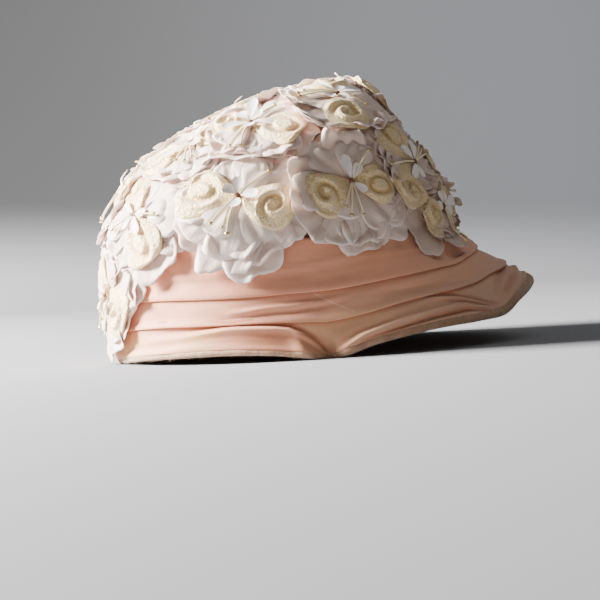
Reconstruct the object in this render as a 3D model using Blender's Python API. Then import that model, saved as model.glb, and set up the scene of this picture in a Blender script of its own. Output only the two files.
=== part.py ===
# A lady's flower bonnet: an open net crown sewn over with organza flowers, each
# with a pair of velvet petals, above a pleated chiffon drape that flares into a
# brim, and a velvet facing round the edge.
# +X is the front, +Z is up. The rim rests on z = 0 at the back and at two low
# points on the sides, and the front of the brim is lifted.

import math
from collections import namedtuple

import bmesh
import bpy
from mathutils import Vector

mm = 0.001

# Crown: an egg-shaped oval at its base, and a peak well forward of the middle
CROWN_CENTRE_X = -19.7 * mm
CROWN_HALF_LENGTH = 98.5 * mm
CROWN_HALF_WIDTH = 84 * mm
CROWN_BASE_Z = 67 * mm
CROWN_HEIGHT = 86 * mm
PEAK_X = 20.8 * mm
CROWN_WALL = 1.5 * mm
CROWN_TUCK_IN = 9 * mm
# How boxy a meridian is: 2 is an ellipse, less is nearer a cone
BOXINESS_FRONT = 1.55
BOXINESS_SIDE = 2.2
BOXINESS_BACK = 1.9

# Brim: the oval of its edge, and the drape's cloth
RIM_WIDEST_X = -3.2 * mm
RIM_FRONT_REACH = 133 * mm
RIM_BACK_REACH = 116 * mm
RIM_HALF_WIDTH = 97 * mm
DRAPE_WALL = 2.0 * mm
TUCK_OVERHANG = 1.6 * mm
TUCK_DROP = 1.2 * mm
# How far the cloth swells out between its tucks and at its hem, and sinks below a tuck
TOP_SWELL = 0.3 * mm
MIDDLE_SWELL = 0.4 * mm
LOW_SWELL = 1.0 * mm
HEM_SWELL = 0.6 * mm
TUCK_SINK = 0.2 * mm
GAP = 0.3 * mm

# Velvet facing: the lip that shows below the drape, and the leaf under the brim
EDGE_HEIGHT = 5.5 * mm
EDGE_WALL = 3.6 * mm
LIP_TOP_PROUD = 0.5 * mm
LIP_PROUD = 0.9 * mm
LEAF_WALL = 1.5 * mm
LEAF_SHARE = 0.45

# One row for each place round the brim, from the front (0) to the back (180).
# The tucks and folds are shares of the way from the drape's top to the rim.
Section = namedtuple("Section", "angle rim_z flare upper_tuck lower_tuck hollow")
BRIM = [
    Section(0, 32.0 * mm, 1.25, 0.40, 0.70, 1.0 * mm),
    Section(12, 29.0 * mm, 1.25, 0.40, 0.70, 1.0 * mm),
    Section(25, 22.5 * mm, 1.20, 0.41, 0.69, 1.5 * mm),
    Section(34, 18.0 * mm, 1.20, 0.41, 0.68, 3.0 * mm),
    Section(45, 15.0 * mm, 1.20, 0.41, 0.68, 1.5 * mm),
    Section(60, 12.0 * mm, 1.25, 0.42, 0.69, 1.0 * mm),
    Section(75, 6.0 * mm, 1.40, 0.43, 0.69, 1.0 * mm),
    Section(84, 0.0 * mm, 1.50, 0.44, 0.69, 2.5 * mm),
    Section(90, 0.0 * mm, 1.50, 0.45, 0.70, 2.0 * mm),
    Section(100, 3.0 * mm, 1.50, 0.47, 0.71, 0.5 * mm),
    Section(115, 4.5 * mm, 1.40, 0.50, 0.73, 0.5 * mm),
    Section(135, 3.5 * mm, 1.30, 0.50, 0.73, 0.5 * mm),
    Section(150, 2.0 * mm, 1.20, 0.48, 0.72, 0.5 * mm),
    Section(164, 0.0 * mm, 1.10, 0.48, 0.72, 0.5 * mm),
    Section(180, 0.0 * mm, 1.00, 0.48, 0.72, 0.5 * mm),
]

# Flowers, placed from the hub inside the crown: the bearing from the front
# (minus is the wearer's right), the rise above the drape's top, the turns of its
# two velvet petals, and how far the lowest petals hang from the flower's heart.
Flower = namedtuple("Flower", "place bearing rise first_velvet second_velvet hang")
FLOWERS = [
    Flower("right_back", -157, 8.5, -58, 122, 44 * mm),
    Flower("right_middle", -126, 14, -15, 176, 46 * mm),
    Flower("right_front", -88, 21, 2, -112, 42 * mm),
    Flower("front_right", -33, 11, 20, 200, 20 * mm),
    Flower("front_left", 16, 14, -30, 150, 20 * mm),
    Flower("left_front", 65, 17, 25, 205, 40 * mm),
    Flower("left_middle", 104, 16, -20, 160, 44 * mm),
    Flower("left_back", 138, 12, 15, 195, 44 * mm),
    Flower("back_left", 166, 8, -50, 130, 42 * mm),
    Flower("nape", -170, -10, -30, 150, 35 * mm),
    Flower("back_centre", -177, 15, 0, 180, 42 * mm),
    Flower("slope_right_back", -152, 31, 40, 220, 48 * mm),
    Flower("slope_right", -132, 41, 4, 184, 48 * mm),
    Flower("slope_front_right", -48, 33, 130, 235, 48 * mm),
    Flower("slope_front", 2, 42, 10, 190, 48 * mm),
    Flower("slope_front_left", 50, 42, -40, 140, 48 * mm),
    Flower("slope_left", 106, 44, 30, 210, 48 * mm),
    Flower("slope_left_back", 141, 34, -15, 165, 48 * mm),
    Flower("slope_back", 173, 29, 55, 235, 48 * mm),
    Flower("top_right", -92, 63, -75, 105, 48 * mm),
    Flower("top_front", 20, 72, -25, 155, 48 * mm),
    Flower("top_left", 126, 67, 70, 250, 48 * mm),
    Flower("top_back", -168, 50, 5, 185, 48 * mm),
]
HUB = Vector((PEAK_X, 0, CROWN_BASE_Z))
# How far petals reach where neither a neighbour nor the hang limits them
SPREAD = 48 * mm
FLOWER_GAP = 0.8 * mm
PETALS = 5
# How far the drape's top edge, and lower down its tucks, hold the petals off the
# crown's form, and how that lift fades above the edge
EDGE_STEP = 2.5 * mm
TUCK_STEP = 4.1 * mm
TUCK_RUN = 28 * mm
STEP_LANDING = 8 * mm
STEP_FADE = 22 * mm
# How fast the brim spreads as it falls
FLARE_FRONT = 1.28
FLARE_SIDE = 0.19
FLARE_BACK = 0.015
# Across one petal, from valley to valley: its share of the reach and its lift
PetalPart = namedtuple("PetalPart", "length lift")
PETAL_PARTS = [
    PetalPart(0.82, 0.0),
    PetalPart(0.97, 0.8),
    PetalPart(1.00, 1.0),
    PetalPart(0.97, 0.8),
]
# Along a petal, from the heart to the tip: the share of its length, and its lift
# off the ground in the valleys and on its crown
PetalRing = namedtuple("PetalRing", "share valley_lift crown_lift")
PETAL_TOP = [
    PetalRing(0.0, 1.6 * mm, 1.6 * mm),
    PetalRing(0.32, 2.0 * mm, 2.3 * mm),
    PetalRing(0.72, 2.6 * mm, 4.6 * mm),
    PetalRing(1.0, 1.5 * mm, 4.0 * mm),
]
PETAL_UNDERSIDE = [
    PetalRing(0.0, 0.2 * mm, 0.2 * mm),
    PetalRing(0.5, 0.6 * mm, 1.1 * mm),
    PetalRing(1.0, 0.2 * mm, 2.6 * mm),
]

# Velvet pair: half of it from the flower's heart out, as a share of its reach
VELVET_REACH = 32 * mm
VELVET_ROOM = 0.94
VelvetPart = namedtuple("VelvetPart", "share half_width lift wall dish")
VELVET_PARTS = [
    VelvetPart(0.12, 2.8 * mm, 2.3 * mm, 2.4 * mm, 0.0 * mm),
    VelvetPart(0.45, 9.0 * mm, 4.5 * mm, 2.2 * mm, 0.9 * mm),
    VelvetPart(0.80, 10.5 * mm, 6.6 * mm, 2.2 * mm, 1.0 * mm),
    VelvetPart(1.00, 5.0 * mm, 6.2 * mm, 2.2 * mm, 0.0 * mm),
]

ROUND_STEPS = 72
CROWN_STEPS = 36
CROWN_OUTER_ROWS = 8
CROWN_INNER_ROWS = 5


def between(a, b, share):
    return a + (b - a) * share


def smooth(share):
    share = min(max(share, 0.0), 1.0)
    return share * share * (3 - 2 * share)


def brim_at(column, angle):
    """A column of BRIM at an angle in degrees, on one smooth curve. Both sides are alike."""
    angle = abs((angle + 180) % 360 - 180)
    last = len(BRIM) - 1
    i = max(k for k in range(last) if BRIM[k].angle <= angle)

    def slope(k):
        if k in (0, last):
            return 0.0
        rise = getattr(BRIM[k + 1], column) - getattr(BRIM[k - 1], column)
        return rise / (BRIM[k + 1].angle - BRIM[k - 1].angle)

    start, end = BRIM[i], BRIM[i + 1]
    span = end.angle - start.angle
    if getattr(start, column) == getattr(end, column):
        return getattr(start, column)
    t = (angle - start.angle) / span
    return (
        getattr(start, column) * (2 * t**3 - 3 * t**2 + 1)
        + getattr(end, column) * (3 * t**2 - 2 * t**3)
        + slope(i) * span * (t**3 - 2 * t**2 + t)
        + slope(i + 1) * span * (t**3 - t**2)
    )


# Crown

def base_reach(bearing):
    """From the peak's axis to the base oval, along a bearing in radians."""
    forward = PEAK_X - CROWN_CENTRE_X
    c, s = math.cos(bearing), math.sin(bearing)
    a = (c / CROWN_HALF_LENGTH) ** 2 + (s / CROWN_HALF_WIDTH) ** 2
    b = 2 * forward * c / CROWN_HALF_LENGTH**2
    rest = (forward / CROWN_HALF_LENGTH) ** 2 - 1
    return (-b + math.sqrt(b * b - 4 * a * rest)) / (2 * a)


def boxiness(bearing):
    c = math.cos(bearing)
    end = BOXINESS_FRONT if c > 0 else BOXINESS_BACK
    return between(BOXINESS_SIDE, end, c * c)


def crown_point(bearing, climb, inset):
    """A point of the dome: climb runs from 0 at its base to 1 at its peak."""
    power = 2 / boxiness(bearing)
    turn = climb * math.pi / 2
    out = (base_reach(bearing) - inset) * math.cos(turn) ** power
    up = (CROWN_HEIGHT - inset) * math.sin(turn) ** power
    return HUB + Vector((out * math.cos(bearing), out * math.sin(bearing), up))


def skin_reach(bearing, z):
    """How far from the peak's axis the flowers' ground lies at a height."""
    climb = z - CROWN_BASE_Z
    ledge = EDGE_STEP * smooth(1 - (climb - STEP_LANDING) / STEP_FADE)
    if climb <= 0:
        ledge = between(EDGE_STEP, TUCK_STEP, smooth(-climb / TUCK_RUN))
        c = math.cos(bearing)
        flare = between(FLARE_SIDE, FLARE_FRONT if c > 0 else FLARE_BACK, c * c)
        return base_reach(bearing) + ledge - flare * climb
    power = boxiness(bearing)
    share = max(0.0, 1 - (climb / CROWN_HEIGHT) ** power)
    return base_reach(bearing) * share ** (1 / power) + ledge


def on_skin(direction, lift):
    """The point on a ray from the hub that lies this far above the flowers' ground."""
    bearing = math.atan2(direction.y, direction.x)
    flat = math.hypot(direction.x, direction.y)
    low, high = 0.0, 2 * CROWN_HALF_LENGTH
    for _ in range(40):
        middle = (low + high) / 2
        z = CROWN_BASE_Z + middle * direction.z
        if z < CROWN_BASE_Z + CROWN_HEIGHT and middle * flat < skin_reach(bearing, z):
            low = middle
        else:
            high = middle
    return HUB + direction * (low + lift)


# Drape and brim

def brim_point(angle, share, lift):
    """A point on the brim's form: share runs from 0 at the drape's top to 1 at the rim."""
    a = math.radians(angle)
    top = Vector((
        CROWN_CENTRE_X + CROWN_HALF_LENGTH * math.cos(a),
        CROWN_HALF_WIDTH * math.sin(a),
        CROWN_BASE_Z,
    ))
    reach = RIM_FRONT_REACH if math.cos(a) > 0 else RIM_BACK_REACH
    rim = Vector((
        RIM_WIDEST_X + reach * math.cos(a),
        RIM_HALF_WIDTH * math.sin(a),
        brim_at("rim_z", angle),
    ))
    out = share ** brim_at("flare", angle)
    point = Vector((between(top.x, rim.x, out), between(top.y, rim.y, out),
                    between(top.z, rim.z, share)))
    outward = Vector((math.cos(a) * CROWN_HALF_WIDTH, math.sin(a) * CROWN_HALF_LENGTH, 0)).normalized()
    run = (rim - top).dot(outward) * brim_at("flare", angle)
    normal = (outward * (top.z - rim.z) + Vector((0, 0, run))).normalized()
    slant = smooth(share * 4)
    return point + outward.lerp(normal, slant).normalized() * lift


def drape_section(angle):
    """The drape's outline at an angle: down the pleats outside, and up the plain inside."""
    upper = brim_at("upper_tuck", angle)
    lower = brim_at("lower_tuck", angle)
    hollow = brim_at("hollow", angle)
    fall = CROWN_BASE_Z - brim_at("rim_z", angle)
    drop = TUCK_DROP / fall
    hem = 1 - EDGE_HEIGHT / fall
    inside = GAP
    cloth = inside + DRAPE_WALL
    proud = cloth + TUCK_OVERHANG
    tuck_in = (CROWN_TUCK_IN + GAP) / fall
    outer = [
        (0.0, cloth),
        (between(0, upper, 0.5), cloth + TOP_SWELL),
        (upper - drop, proud),
        (upper, proud),
        (upper + drop / 2, cloth - TUCK_SINK),
        (between(upper, lower, 0.5), cloth + MIDDLE_SWELL),
        (lower - drop, proud),
        (lower, proud),
        (lower + drop / 2, cloth - TUCK_SINK),
        (between(lower, hem, 0.45), cloth + MIDDLE_SWELL + hollow * 0.4),
        (between(lower, hem, 0.8), cloth + LOW_SWELL - hollow * 0.3),
        (hem, cloth + HEM_SWELL),
    ]
    inner = [(hem, inside), (between(0, hem, 0.6), inside), (tuck_in, inside), (0.0, inside)]
    return [brim_point(angle, share, lift) for share, lift in outer + inner]


def facing_section(angle):
    """The velvet's outline: a thick lip at the edge, and a thin leaf up inside the brim."""
    fall = CROWN_BASE_Z - brim_at("rim_z", angle)
    hem = 1 - (EDGE_HEIGHT - GAP) / fall
    cloth = GAP + DRAPE_WALL
    rim_out = brim_point(angle, 1.0, cloth)
    rim_in = brim_point(angle, 1.0, cloth - EDGE_WALL)
    floor_z = brim_at("rim_z", angle)
    rim_out.z = floor_z
    rim_in.z = floor_z
    middle = between(LEAF_SHARE, hem, 0.5)
    leaf = [(LEAF_SHARE, -LEAF_WALL), (LEAF_SHARE, 0.0), (middle, 0.0), (hem, 0.0)]
    lip = [(hem, cloth + LIP_TOP_PROUD), (between(hem, 1.0, 0.6), cloth + LIP_PROUD)]
    up = [(between(hem, 1.0, 0.3), -LEAF_WALL), (middle, -LEAF_WALL)]
    outer = [brim_point(angle, share, lift) for share, lift in leaf + lip]
    inner = [brim_point(angle, share, lift) for share, lift in up]
    return outer + [rim_out, rim_in] + inner


# Flowers

def direction_of(bearing, rise):
    b, r = math.radians(bearing), math.radians(rise)
    return Vector((math.cos(r) * math.cos(b), math.cos(r) * math.sin(b), math.sin(r)))


def flower_axes(heart):
    """Two directions across a flower: along the crown's girth, and up towards its peak."""
    girth = Vector((0, 0, 1)).cross(heart).normalized()
    return girth, heart.cross(girth)


def room_for(flower, heart, spoke):
    """How far a flower may spread along a spoke, as a slope from the hub, short of its neighbours' ground."""
    own = on_skin(heart, 0)
    limit = between(SPREAD, flower.hang, smooth(0.5 - spoke.z))
    room = limit / (own - HUB).length
    for other in FLOWERS:
        if other is flower:
            continue
        there = direction_of(other.bearing, other.rise)
        towards = spoke.dot(there)
        if towards > 0:
            room = min(room, (1 - heart.dot(there)) / towards)
    return room - FLOWER_GAP / (own - HUB).length


def spread(flower, angle):
    """The spoke at an angle in degrees from the flower's girth line, and the room along it."""
    heart = direction_of(flower.bearing, flower.rise)
    girth, upward = flower_axes(heart)
    a = math.radians(angle)
    spoke = girth * math.cos(a) + upward * math.sin(a)
    return heart, spoke, room_for(flower, heart, spoke)


def petal_points(flower, rings):
    """Rings of points over a flower's petals, the first ring being its heart."""
    parts = len(PETAL_PARTS)
    step = 360 / (PETALS * parts)
    found = []
    for ring in rings:
        points = []
        for k in range(PETALS * parts):
            part = PETAL_PARTS[k % parts]
            heart, spoke, room = spread(flower, flower.first_velvet + k * step)
            out = room * part.length * ring.share
            lift = GAP + between(ring.valley_lift, ring.crown_lift, part.lift)
            points.append(on_skin((heart + spoke * out).normalized(), lift))
        found.append(points if ring.share else points[:1])
    return found


def velvet_points(flower, top):
    """Rows of points across a velvet pair, from one tip to the other, inside the flower's own room."""
    rows = []
    for turn, parts in ((flower.second_velvet, reversed(VELVET_PARTS)), (flower.first_velvet, VELVET_PARTS)):
        heart, spoke, room = spread(flower, turn)
        own = (on_skin(heart, 0) - HUB).length
        reach = min(VELVET_REACH / own, room * VELVET_ROOM)
        across = heart.cross(spoke)
        narrow = min(1.0, reach * own / VELVET_REACH)
        for part in parts:
            half = part.half_width * narrow / own
            row = []
            for rank in (-1, 0, 1) if top else (-1, 1):
                flip = rank if turn == flower.first_velvet else -rank
                lift = GAP + part.lift
                if top:
                    lift += part.wall - (part.dish if rank == 0 else 0)
                offset = spoke * reach * part.share + across * half * flip
                limit = room_for(flower, heart, offset.normalized()) * VELVET_ROOM
                offset *= min(1.0, limit / offset.length)
                row.append(on_skin((heart + offset).normalized(), lift))
            rows.append(row)
    return rows


# Meshes

def finished(name, mesh_builder, material, sharp_deg=40):
    """The bmesh made into a named object with its faces turned outwards."""
    bmesh.ops.recalc_face_normals(mesh_builder, faces=mesh_builder.faces)
    if mesh_builder.calc_volume(signed=True) < 0:
        bmesh.ops.reverse_faces(mesh_builder, faces=mesh_builder.faces)
    mesh = bpy.data.meshes.new(name)
    mesh_builder.to_mesh(mesh)
    mesh_builder.free()
    mesh.shade_smooth()
    mesh.set_sharp_from_angle(angle=math.radians(sharp_deg))
    mesh.materials.append(material)
    obj = bpy.data.objects.new(name, mesh)
    bpy.context.scene.collection.objects.link(obj)
    return obj


def bridge(builder, first, second):
    """Quads, or triangles at a single point, between two rings of vertices."""
    count = max(len(first), len(second))
    for k in range(count):
        a, b = first[k % len(first)], first[(k + 1) % len(first)]
        c, d = second[(k + 1) % len(second)], second[k % len(second)]
        corners = list(dict.fromkeys((a, b, c, d)))
        builder.faces.new(corners)


def ring_solid(name, section, material):
    """A closed band: the section's outline carried all the way round."""
    builder = bmesh.new()
    outlines = [
        [builder.verts.new(p) for p in section(360 * k / ROUND_STEPS)]
        for k in range(ROUND_STEPS)
    ]
    for k in range(ROUND_STEPS):
        bridge(builder, outlines[k], outlines[(k + 1) % ROUND_STEPS])
    return finished(name, builder, material)


def crown_solid(material):
    """The hollow dome, with a short wall that tucks inside the drape's top."""
    builder = bmesh.new()

    def ring(climb, inset, drop=0.0):
        turns = 1 if climb == 1 else CROWN_STEPS
        down = Vector((0, 0, -drop))
        points = [crown_point(2 * math.pi * k / CROWN_STEPS, climb, inset) + down for k in range(turns)]
        return [builder.verts.new(p) for p in points]

    rings = [ring(1 - k / CROWN_OUTER_ROWS, 0) for k in range(CROWN_OUTER_ROWS + 1)]
    rings += [ring(0, 0, CROWN_TUCK_IN), ring(0, CROWN_WALL, CROWN_TUCK_IN)]
    rings += [ring(k / CROWN_INNER_ROWS, CROWN_WALL) for k in range(CROWN_INNER_ROWS + 1)]
    for upper, lower in zip(rings, rings[1:]):
        bridge(builder, upper, lower)
    return finished("crown_net", builder, material)


def flower_solid(flower, material):
    """An organza flower: one wall whose petals arch up off the crown."""
    builder = bmesh.new()
    top = [[builder.verts.new(p) for p in ring] for ring in petal_points(flower, PETAL_TOP)]
    under = [[builder.verts.new(p) for p in ring] for ring in petal_points(flower, PETAL_UNDERSIDE)]
    for rings in (top, under):
        for inner, outer in zip(rings, rings[1:]):
            bridge(builder, inner, outer)
    bridge(builder, top[-1], under[-1])
    return finished("flower_" + flower.place, builder, material)


def velvet_solid(flower, material):
    """Two velvet petals cut as one, joined by a narrow waist at the flower's heart."""
    builder = bmesh.new()
    top = [[builder.verts.new(p) for p in row] for row in velvet_points(flower, True)]
    under = [[builder.verts.new(p) for p in row] for row in velvet_points(flower, False)]
    outlines = [upper + lower[::-1] for upper, lower in zip(top, under)]
    for near, far in zip(outlines, outlines[1:]):
        bridge(builder, near, far)
    builder.faces.new(outlines[0])
    builder.faces.new(outlines[-1])
    return finished("velvet_pair_" + flower.place, builder, material)


def cloth(name, colour, roughness):
    material = bpy.data.materials.new(name)
    material.use_nodes = True
    shader = material.node_tree.nodes["Principled BSDF"]
    shader.inputs["Base Color"].default_value = (*colour, 1)
    shader.inputs["Roughness"].default_value = roughness
    shader.inputs["Metallic"].default_value = 0.0
    return material


def main():
    for obj in list(bpy.data.objects):
        bpy.data.objects.remove(obj)
    net = cloth("tan net", (0.62, 0.42, 0.27), 0.8)
    chiffon = cloth("peach chiffon", (0.83, 0.50, 0.37), 0.55)
    edge_velvet = cloth("peach velvet", (0.68, 0.43, 0.29), 0.9)
    organza = cloth("white organza", (0.86, 0.78, 0.75), 0.5)
    cream_velvet = cloth("cream velvet", (0.76, 0.62, 0.36), 0.85)
    crown_solid(net)
    ring_solid("drape", drape_section, chiffon)
    ring_solid("velvet_edge", facing_section, edge_velvet)
    for flower in FLOWERS:
        flower_solid(flower, organza)
        velvet_solid(flower, cream_velvet)


main()
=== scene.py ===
import math

import bpy
import numpy as np
from mathutils import Matrix, Vector


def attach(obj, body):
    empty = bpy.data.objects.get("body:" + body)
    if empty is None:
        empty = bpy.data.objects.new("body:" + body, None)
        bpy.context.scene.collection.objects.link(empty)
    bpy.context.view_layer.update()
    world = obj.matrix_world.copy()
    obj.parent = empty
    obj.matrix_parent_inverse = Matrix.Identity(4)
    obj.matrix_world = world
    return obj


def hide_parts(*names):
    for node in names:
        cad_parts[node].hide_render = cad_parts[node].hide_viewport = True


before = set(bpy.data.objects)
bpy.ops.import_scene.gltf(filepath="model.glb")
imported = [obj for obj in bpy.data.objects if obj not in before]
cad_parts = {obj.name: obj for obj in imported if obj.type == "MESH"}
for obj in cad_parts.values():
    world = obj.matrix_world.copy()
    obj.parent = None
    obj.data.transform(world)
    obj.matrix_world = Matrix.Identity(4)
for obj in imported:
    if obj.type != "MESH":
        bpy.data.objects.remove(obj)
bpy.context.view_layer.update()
bpy.ops.object.select_all(action="DESELECT")
mm = 0.001

# The hat's form. It is that of its solids, but for the tucks and the brim's front corners, which are moved
# by up to a few millimetres.
hat = {
    "crownMiddle": -19.7 * mm, "crownHalfLength": 98.5 * mm, "crownHalfWidth": 84 * mm,
    "crownBase": 67 * mm, "crownHeight": 86 * mm, "peak": 20.8 * mm,
    "boxyFront": 1.55, "boxySide": 2.2, "boxyBack": 1.9,
    "rimMiddle": -3.2 * mm, "rimFront": 133 * mm, "rimBack": 116 * mm, "rimHalfWidth": 97 * mm,
    "flareFront": 1.28, "flareSide": 0.19, "flareBack": 0.015,
    "edgeStep": 2.5 * mm, "tuckStep": 4.1 * mm, "tuckRun": 28 * mm,
    "stepLanding": 8 * mm, "stepFade": 22 * mm,
    "edgeHeight": 3.2 * mm, "hollow": 6.5 * mm, "hollowAt": (-5, 54, 14), "clothReach": 0.108,
}
# angle from the front, height of the rim in mm, flare, and how far down the two tucks lie
brimColumns = ("angle", "rim", "flare", "upperTuck", "lowerTuck")
brim = np.array([
    [0, 32.0, 1.25, 0.42, 0.72], [12, 29.0, 1.25, 0.43, 0.72], [25, 22.8, 1.20, 0.44, 0.68],
    [34, 15.6, 1.20, 0.44, 0.66], [45, 13.6, 1.20, 0.45, 0.68], [60, 11.4, 1.25, 0.48, 0.71],
    [75, 6.0, 1.40, 0.49, 0.74], [84, 0.0, 1.50, 0.46, 0.71], [90, 0.0, 1.50, 0.46, 0.70],
    [100, 3.0, 1.50, 0.49, 0.72], [115, 4.5, 1.40, 0.50, 0.735], [135, 3.5, 1.30, 0.48, 0.72],
    [150, 2.0, 1.20, 0.48, 0.72], [164, 0.0, 1.10, 0.48, 0.72], [180, 0.0, 1.00, 0.48, 0.72],
])
hub = np.array([hat["peak"], 0.0, hat["crownBase"]])


def mix(a, b, share):
    return a + (b - a) * share


def smooth(x):
    x = np.clip(x, 0.0, 1.0)
    return x * x * (3 - 2 * x)


def bump(x, middle, width):
    return np.exp(-((x - middle) / width) ** 2)


def frontShare(angle, behind=0.25, run=1.1):
    # 0 at the back, 1 at the front
    return smooth((math.cos(math.radians(angle)) + behind) / run)


# Crown form

def baseReach(bearing):
    forward = hat["peak"] - hat["crownMiddle"]
    c, s = np.cos(bearing), np.sin(bearing)
    a = (c / hat["crownHalfLength"]) ** 2 + (s / hat["crownHalfWidth"]) ** 2
    b = 2 * forward * c / hat["crownHalfLength"] ** 2
    rest = (forward / hat["crownHalfLength"]) ** 2 - 1
    return (-b + np.sqrt(b * b - 4 * a * rest)) / (2 * a)


def boxiness(bearing):
    c = np.cos(bearing)
    return mix(hat["boxySide"], np.where(c > 0, hat["boxyFront"], hat["boxyBack"]), c * c)


def skinReach(bearing, z):
    climb = z - hat["crownBase"]
    power = boxiness(bearing)
    share = np.maximum(0.0, 1 - (np.maximum(climb, 0) / hat["crownHeight"]) ** power)
    above = baseReach(bearing) * share ** (1 / power)
    above = above + hat["edgeStep"] * smooth(1 - (climb - hat["stepLanding"]) / hat["stepFade"])
    c = np.cos(bearing)
    flare = mix(hat["flareSide"], np.where(c > 0, hat["flareFront"], hat["flareBack"]), c * c)
    below = baseReach(bearing) - flare * climb
    below = below + mix(hat["edgeStep"], hat["tuckStep"], smooth(-climb / hat["tuckRun"]))
    return np.where(climb > 0, above, below)


def nearTo(directions, bearing, rise, spread):
    # 1 along a direction from the hub, fading over the spread; all in degrees
    b, r = math.radians(bearing), math.radians(rise)
    middle = np.array([math.cos(r) * math.cos(b), math.cos(r) * math.sin(b), math.sin(r)])
    return bump(np.degrees(np.arccos(np.clip(directions @ middle, -1, 1))), 0, spread)


def frontHollow(directions):
    # the crown is pressed in a little above its front
    return hat["hollow"] * nearTo(directions, *hat["hollowAt"])


def onSkin(directions, lift):
    # where rays from the hub leave the ground that the flowers lie on, and a lift beyond it
    d = directions / np.linalg.norm(directions, axis=1)[:, None]
    bearing = np.arctan2(d[:, 1], d[:, 0])
    flat = np.hypot(d[:, 0], d[:, 1])
    low = np.zeros(len(d))
    high = np.full(len(d), 2 * hat["crownHalfLength"])
    for _ in range(36):  # halves the span each time
        middle = (low + high) / 2
        z = hub[2] + middle * d[:, 2]
        inside = (z < hat["crownBase"] + hat["crownHeight"]) & (middle * flat < skinReach(bearing, z))
        low = np.where(inside, middle, low)
        high = np.where(inside, high, middle)
    return hub + d * (low - frontHollow(d) + lift)[:, None]


# Brim form

def brimAt(what, angle):
    # a value of the brim's table, eased from row to row
    angles, values = brim[:, 0], brim[:, brimColumns.index(what)]
    angle = abs((angle + 180) % 360 - 180)
    last = len(brim) - 1
    k = min(int(np.searchsorted(angles, angle, side="right")) - 1, last - 1)
    if values[k] == values[k + 1]:
        return values[k]

    def slope(i):
        if i in (0, last):
            return 0.0
        return (values[i + 1] - values[i - 1]) / (angles[i + 1] - angles[i - 1])

    span = angles[k + 1] - angles[k]
    t = (angle - angles[k]) / span
    return (values[k] * (2 * t**3 - 3 * t**2 + 1) + values[k + 1] * (3 * t**2 - 2 * t**3)
            + slope(k) * span * (t**3 - 2 * t**2 + t) + slope(k + 1) * span * (t**3 - t**2))


def brimLine(angle):
    # the drape's top and rim at an angle, the ways out and off the cloth, and the flare
    a = math.radians(angle)
    top = np.array([hat["crownMiddle"] + hat["crownHalfLength"] * math.cos(a),
                    hat["crownHalfWidth"] * math.sin(a), hat["crownBase"]])
    reach = hat["rimFront"] if math.cos(a) > 0 else hat["rimBack"]
    rim = np.array([hat["rimMiddle"] + reach * math.cos(a), hat["rimHalfWidth"] * math.sin(a),
                    brimAt("rim", angle) * mm])
    outward = np.array([math.cos(a) * hat["crownHalfWidth"], math.sin(a) * hat["crownHalfLength"], 0])
    outward = outward / np.linalg.norm(outward)
    flare = brimAt("flare", angle)
    run = float((rim - top) @ outward) * flare
    normal = outward * (top[2] - rim[2]) + np.array([0, 0, run])
    return top, rim, outward, normal / np.linalg.norm(normal), flare


def brimPoints(angle, shares, lifts):
    # shares of the way from the drape's top to the rim, and lifts off that line
    top, rim, outward, normal, flare = brimLine(angle)
    shares, lifts = np.asarray(shares, float), np.asarray(lifts, float)
    out = np.sign(shares) * np.abs(shares) ** flare
    points = np.empty((len(shares), 3))
    points[:, :2] = top[:2] + (rim - top)[:2] * out[:, None]
    points[:, 2] = top[2] + (rim[2] - top[2]) * shares
    slant = smooth(shares * 4)[:, None]
    lean = outward * (1 - slant) + normal * slant
    return points + lean / np.linalg.norm(lean, axis=1)[:, None] * lifts[:, None]


def clothUv(points, angle):
    # metres down the cloth, and round it
    run = np.concatenate([[0], np.cumsum(np.linalg.norm(np.diff(points, axis=0), axis=1))])
    return zip(run, np.full(len(run), math.radians(angle) * hat["clothReach"]))


# Meshes

def addToScene(name, data):
    obj = bpy.data.objects.new(name, data)
    bpy.context.scene.collection.objects.link(obj)
    return obj


def makePiece(name, co, faces, material, nodes=(), uv=None, tones=None):
    mesh = bpy.data.meshes.new(name)
    mesh.from_pydata([tuple(p) for p in co], [], faces)
    if uv is not None:
        layer = mesh.uv_layers.new(name="cloth")
        corner = np.empty(len(mesh.loops), np.int32)
        mesh.loops.foreach_get("vertex_index", corner)
        layer.data.foreach_set("uv", np.asarray(uv, np.float32)[corner].ravel())
    for label, values in (tones or {}).items():
        tone = mesh.attributes.new(label, "FLOAT", "POINT")
        tone.data.foreach_set("value", np.asarray(values, np.float32))
    for m in material if isinstance(material, (list, tuple)) else [material]:
        mesh.materials.append(m)
    piece = addToScene(name, mesh)
    mesh.shade_smooth()
    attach(piece, "root")
    if nodes:
        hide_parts(*nodes)
    return piece


def finish(piece, *modifiers):
    # modifiers are (type, settings) pairs, applied in turn
    bpy.ops.object.select_all(action="DESELECT")
    piece.select_set(True)
    bpy.context.view_layer.objects.active = piece
    for kind, settings in modifiers:
        modifier = piece.modifiers.new(kind.lower(), kind)
        for key, value in settings.items():
            setattr(modifier, key, value)
        bpy.ops.object.modifier_apply(modifier=modifier.name)
    piece.select_set(False)


def ringFaces(around, down):
    faces = []
    for i in range(around):
        j = (i + 1) % around
        for k in range(down - 1):
            faces.append((i * down + k, i * down + k + 1, j * down + k + 1, j * down + k))
    return faces


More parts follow.
